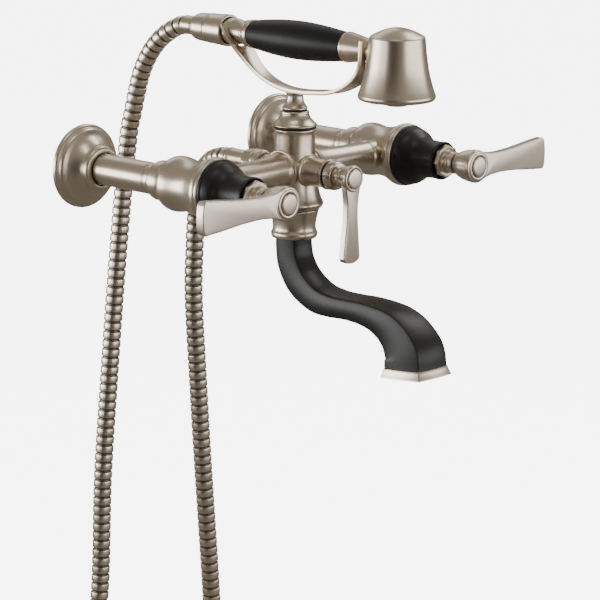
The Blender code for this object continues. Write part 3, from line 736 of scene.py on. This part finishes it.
def spout():
    """The curved square spout, its flared tip and the aerator inside."""
    route = [
        (-117.4, -51.4, 9.4, 9.4), (-117.7, -59.0, 9.4, 9.6), (-120.2, -70.0, 9.6, 9.9),
        (-128.9, -82.5, 10.0, 9.9), (-144.8, -91.9, 10.7, 9.0), (-161.0, -94.4, 11.4, 7.9),
        (-177.0, -94.2, 11.9, 7.3), (-191.0, -94.3, 12.3, 7.8), (-204.5, -95.9, 12.8, 8.8),
        (-216.5, -99.4, 13.3, 10.9), (-226.0, -104.9, 13.8, 13.0), (-232.4, -111.6, 14.4, 14.8),
        (-236.6, -119.0, 15.0, 16.2), (-237.6, -127.8, 15.4, 16.5),
    ]
    stations = smooth(route, 6)
    last = len(stations) - 1
    middle = [Vector((0, y, z)) for y, z, _, _ in stations]

    def section(i, grow, bow, corner, down_by=0.0):
        """A square with bowed sides and rounded corners, across the path at station i."""
        along, normal = across(middle, i)
        _, _, half_x, half_n = stations[i]
        half_x, half_n = half_x + grow, half_n + grow
        ring = []
        for corner_x, corner_n, step_x, step_n in SQUARE:
            side = 2 * (half_x if step_x else half_n)
            skip = corner / side
            for share in [skip + (1 - 2 * skip) * k / SIDE_STEPS for k in range(SIDE_STEPS + 1)]:
                swell = 4 * bow * share * (1 - share)
                x = half_x * (corner_x + 2 * share * step_x) + swell * step_n
                n = half_n * (corner_n + 2 * share * step_n) - swell * step_x
                ring.append((x, n))
        rounded_ring = []
        for k, (x, n) in enumerate(ring):
            rounded_ring.append((x, n))
            sector, step = divmod(k, SIDE_STEPS + 1)
            if step == SIDE_STEPS:
                (a, b), (c, d) = (x, n), ring[(k + 1) % len(ring)]
                quarter = SQUARE[(sector + 1) % len(SQUARE)]
                tip_x, tip_n = half_x * quarter[0], half_n * quarter[1]
                for t in (0.25, 0.5, 0.75):
                    rounded_ring.append((
                        (1 - t) ** 2 * a + 2 * t * (1 - t) * tip_x + t**2 * c,
                        (1 - t) ** 2 * b + 2 * t * (1 - t) * tip_n + t**2 * d,
                    ))
        start = middle[i] + along * down_by
        return [(start + Vector((x, 0, 0)) + normal * n) * MM for x, n in rounded_ring]

    rows = []
    for i in range(last + 1):
        share = i / last
        rows.append(section(i, 0.3 * (1 - share), 1.3 + 0.2 * share, 1.6 - 0.8 * min(1, 1.6 * share)))
    mesh = skin(rows)
    shade(mesh, 40)
    show("spout_skin", mesh, BLACK, ROOT, FACE_UP, ("spout",))

    rims = (
        (0.25, -0.5), (0.3, 0.2), (0.6, 0.4), (2.0, 0.75), (4.0, 1.3), (5.6, 1.85), (6.5, 2.2),
        (6.8, 2.25), (6.95, 2.1), (7.0, 1.8),
    )
    rows = [section(last, grow, 1.5, 0.9, down_by) for down_by, grow in rims]
    mesh = skin(rows)
    tip = show("spout_tip_skin", mesh, DRAWN, None, FACE_UP)
    along, normal = across(middle, last)
    end = middle[last]
    face = Matrix((
        (1, 0, 0, 0),
        (0, normal.y, -along.y, end.y * MM),
        (0, normal.z, -along.z, end.z * MM),
        (0, 0, 0, 1),
    ))
    cut(tip, (lathe_mesh([(-12, 12.6), (4, 12.6)], passes=0), face))
    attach(tip, ROOT)
    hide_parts("spout_tip")
    sieve = [(-5.2, 0), (-5.2, 10.9), (-5.4, 11.3), (-5.4, 12.0), (-5.2, 12.2), (-0.4, 12.2)]
    turned("aerator", sieve, face, look=PLASTIC, passes=0)


# ---------------------------------------------------------------- rear outlet, hand shower and hose


def rear_outlet():
    """The outlet behind the column, out toward the wall, with the nut that holds the hose."""
    axis = place(y=-COLUMN_OUT, turn=FACE_WALL)
    boss = [(6, 9.6), (16.5, 9.4), (17.6, 9.8), (18.8, 9.6), (19.0, 8.0)]
    turned("outlet_boss", boss, axis, replaces=False)
    turned("outlet_stub", [(19.3, 6.4), (19.5, 6.7), (46.2, 6.7), (46.6, 6.4)], axis, bore=4.4)
    nut = [
        (30.6, 8.4), (30.8, 9.2), (31.5, 9.7), (34.0, 9.8), (37.2, 9.8), (37.8, 9.3), (38.6, 9.3),
        (39.2, 9.8), (44.6, 9.8), (46.2, 9.6), (46.8, 9.0), (46.9, 8.0),
    ]
    made = turned("outlet_nut", nut, axis, bore=7.1)
    flat = outline_mesh([(-12, 0), (12, 0), (12, 6), (-12, 6)], 9.0, 0.0)
    spins = [Matrix.Rotation(math.radians(60 * i), 4, "Z") for i in range(6)]
    cut(made, *((flat.copy(), axis @ spin @ place(y=8.9, z=43.4)) for spin in spins))
    ferrule = [
        (47.2, 7.0), (47.3, 7.6), (48.4, 7.6), (49.2, 7.2), (62.6, 7.2), (63.6, 7.5), (65.4, 7.7),
        (66.2, 7.4), (66.4, 6.9),
    ]
    turned("hose_ferrule_outlet", ferrule, axis, bore=4.4)


def hand_shower():
    """The hand shower, from the hose's end at the wall side out to the bell."""
    axis = place(z=HANDSET_Z, turn=FACE_OUT)
    sleeve = [(4.4, 6.6), (4.5, 7.1), (5.3, 7.3), (6.4, 7.15), (13.8, 7.15), (14.3, 7.0), (14.4, 6.6)]
    turned("hose_sleeve", sleeve, axis, SHOWER, bore=4.4)
    rear = [
        (14.7, 6.9), (14.9, 7.5), (16.0, 8.2), (17.2, 9.2), (18.4, 9.9), (20.0, 10.3), (22.2, 10.6),
        (31.0, 11.1), (31.5, 10.9), (31.6, 10.3),
    ]
    turned("hose_nut_rear", rear, axis, SHOWER, bore=4.4)
    front = [
        (31.9, 10.4), (32.0, 11.1), (32.6, 11.4), (34.0, 11.3), (36.0, 11.3), (42.0, 11.7),
        (49.2, 12.1), (50.2, 12.1), (50.7, 11.7), (50.9, 10.9),
    ]
    stepped = [(31.9, 4.4), (44.0, 4.4), (44.0, 10.5), (50.9, 10.5)]
    turned("hose_nut_front", front, axis, SHOWER, bore=stepped)
    neck = [
        (46.6, 9.6), (57.6, 9.9), (59.4, 9.7), (61.0, 9.3), (64.0, 8.85), (67.4, 8.6), (68.2, 8.7),
        (68.8, 9.3), (69.6, 9.6), (70.5, 9.5), (71.0, 9.1), (71.6, 9.2), (72.4, 10.0), (73.6, 10.6),
        (75.4, 10.7), (76.4, 10.4), (76.6, 9.8),
    ]
    turned("handset_neck", neck, axis, SHOWER)
    grip = [
        (76.9, 9.6), (77.0, 10.3), (78.0, 10.6), (84.0, 11.45), (96.0, 12.9), (108.0, 13.85),
        (120.0, 14.3), (131.0, 14.05), (142.0, 13.4), (153.0, 12.35), (162.0, 11.3), (168.2, 10.6),
        (168.7, 10.3), (168.8, 9.6),
    ]
    turned("grip", grip, axis, SHOWER, GRIP)
    ferrule = [
        (169.1, 10.2), (169.2, 10.9), (170.0, 11.3), (171.4, 11.3), (172.2, 11.0), (176.0, 10.5),
        (182.0, 9.45), (186.6, 8.6), (190.0, 8.2), (193.3, 8.1),
    ]
    turned("grip_ferrule", ferrule, axis, SHOWER)
    turned("bell_socket", [(193.4, 7.9), (193.7, 8.3), (200.0, 8.4)], axis, SHOWER, replaces=False)

    stand = place(y=-BELL_OUT)
    bell = [
        (62.4, 25.2), (62.4, 26.0), (62.8, 26.8), (63.6, 27.5), (64.8, 27.95), (66.0, 27.85),
        (67.4, 27.3), (70.5, 26.2), (76.7, 24.4), (84.0, 22.7), (92.0, 21.5), (99.0, 20.7),
        (106.2, 20.1), (107.0, 20.0), (107.3, 19.8), (107.35, 19.4),
    ]
    inside = [(62.4, 24.9), (67.0, 24.6), (90.0, 18.4), (103.0, 16.8), (107.35, 16.8)]
    turned("bell", bell, stand, SHOWER, bore=inside)
    cap = [
        (104.0, 16.4), (107.2, 16.4), (107.3, 19.5), (107.5, 19.75), (107.9, 19.4), (109.4, 16.6),
        (111.0, 13.4), (112.5, 9.8), (113.6, 6.0), (114.2, 2.6), (114.4, 0),
    ]
    turned("bell_cap", cap, stand, SHOWER)
    plate = [(63.6, 24.3), (63.6, 24.4), (65.6, 24.4)]
    turned("spray_plate", plate, stand, SHOWER, PLASTIC, passes=0)
    boss = [(58.2, 0), (58.2, 6.6), (58.4, 7.4), (59.2, 9.0), (60.6, 11.4), (62.0, 12.8), (63.3, 13.4)]
    turned("spray_boss", boss, stand, SHOWER)


HOSE_PITCH = 6.9
HOSE_ROUTE = [
    (0, -51, 0), (0.5, -42, -0.8), (3, -28, -6), (8, -13, -19), (13, -4, -38), (15, 0, -56),
    (14.7, 1, -75), (14.5, 2, -117), (19.3, 2, -185), (24.8, 2, -254), (34.8, 3, -357), (42, 6, -430),
    (47, 11, -500), (42, 17, -560), (22, 25, -604), (-6, 34, -618), (-34, 42, -600), (-52, 48, -556),
    (-56, 51, -500), (-50, 51, -430), (-40.7, 50, -350), (-37, 50, -262), (-30.1, 50, -185),
    (-21.5, 50, -100), (-14.8, 49.5, -39), (-10.8, 47, 7), (-9.3, 44, 24), (-8.2, 39.5, 44),
    (-7.4, 35, 58), (-6.6, 27, 72), (-5, 17, 83.5), (-2.4, 6, 91.5), (-0.4, -1.5, 94.9),
    (0, -4.1, 95.3),
]
# One pitch of the hose: (share of the pitch, radius). The rows after BAND_EDGES are the neck, painted dark as
# shade in the groove between bands.
BAND = (
    (0.00, 6.3), (0.012, 6.85), (0.035, 7.08), (0.08, 7.15), (0.37, 7.15), (0.66, 7.15), (0.705, 7.08),
    (0.728, 6.85), (0.74, 6.3), (0.76, 6.25), (0.87, 6.25), (0.98, 6.25),
)
BAND_EDGES = 7
HOSE_SIDES = 28
NECK_SLOT = 1


def hose():
    """The interlocked metal hose: one band and one neck to each pitch, the necks painted dark as shade."""
    fine = smooth(HOSE_ROUTE, 16)
    lengths = [0.0]
    for first, second in zip(fine, fine[1:]):
        lengths.append(lengths[-1] + (second - first).length)
    total = lengths[-1]
    pitches = round(total / HOSE_PITCH)
    pitch = total / pitches

    def at(distance):
        """(point, its place among the fine points) this far along the hose."""
        low, high = 0, len(lengths) - 2
        while low < high:
            half = (low + high + 1) // 2
            if lengths[half] <= distance:
                low = half
            else:
                high = half - 1
        share = (distance - lengths[low]) / (lengths[low + 1] - lengths[low])
        return fine[low].lerp(fine[low + 1], share), low + share

    def heading(spot):
        """The hose's direction at a place among the fine points."""
        low = min(int(spot), len(fine) - 2)
        before, after = fine[max(low - 1, 0)], fine[min(low + 2, len(fine) - 1)]
        return (after - before).normalized()

    side = Vector((1, 0, 0))
    turns = [2 * math.pi * i / HOSE_SIDES for i in range(HOSE_SIDES)]
    rows = []
    for k in range(pitches):
        for share, radius in BAND:
            point, spot = at((k + share) * pitch)
            forward = heading(spot)
            side = (side - forward * side.dot(forward)).normalized()
            other = forward.cross(side)
            rows.append([(point + (side * math.cos(t) + other * math.sin(t)) * radius) * MM for t in turns])
    mesh = skin(rows)
    shade(mesh, 28)
    made = show("hose_skin", mesh, HOSE_METAL, None, FACE_UP, ("hose",))
    # The necks take the dark metal: painted shade in the grooves.
    mesh.materials.append(HOSE_NECK_SHADE)
    for face in mesh.polygons:
        if face.index // HOSE_SIDES % len(BAND) > BAND_EDGES:
            face.material_index = NECK_SLOT
    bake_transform(made)


# The CAD nodes that show as they are, each with its look.
KEPT = {
    "supply_nipple": BRASS,
    # The brass cartridge is given near-black rubber: painted shade in the gap between bonnet and nut.
    "cartridge": RUBBER,
    "lever_screw": BRASS,
    "stem": TURNED,
    "diverter_cartridge": BRASS,
    "diverter_screw": BRASS,
    "diverter_stem": TURNED,
    "handset_tube": BRASS,
    "cradle_washer": RUBBER,
    "hose_washer": RUBBER,
}

camera()
lights()
room()
floor()
for side, sign in (("left", -1), ("right", 1)):
    valve(side, sign)
column()
cradle()
spout()
rear_outlet()
hand_shower()
hose()
for node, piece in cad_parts.items():
    for ending, look in KEPT.items():
        if node == ending or node in (f"left_{ending}", f"right_{ending}"):
            for material_slot in piece.material_slots:
                material_slot.material = look
